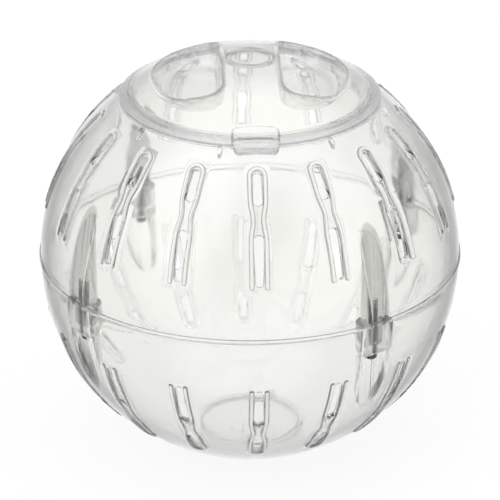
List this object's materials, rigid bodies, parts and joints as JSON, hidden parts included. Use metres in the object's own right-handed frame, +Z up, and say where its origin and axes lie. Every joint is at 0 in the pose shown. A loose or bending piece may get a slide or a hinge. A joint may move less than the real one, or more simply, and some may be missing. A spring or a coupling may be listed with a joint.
{
  "type": "hamster ball",
  "caption": "Clear two-part exercise ball for a hamster, with framed vent slots, a foot to rest on and a lift-off cap with two finger wells and a grip bar.",
  "frame": {"origin": "centre of the foot ring, on the plane the ball stands on", "axes": "+Z up through the lid, -Y to the front where the nearest snap tab is, +X to the right of that view"},
  "size_m": [0.1812, 0.1812, 0.1761],
  "materials": {
    "shell_clear": "clear polished polystyrene",
    "lid_clear": "clear polished polystyrene",
    "screw_steel": "dark plated steel"
  },
  "bodies": {
    "ball": {"upper_shell": "shell_clear", "lower_shell": "shell_clear", "screw_1": "screw_steel", "screw_2": "screw_steel", "screw_3": "screw_steel", "screw_4": "screw_steel"},
    "lid": {"lid": "lid_clear"}
  },
  "joints": [
    {"name": "lid_lift", "type": "slide", "parent": "ball", "child": "lid", "axis": [0, 0, 1], "range_m": [0, 0.06]}
  ]
}
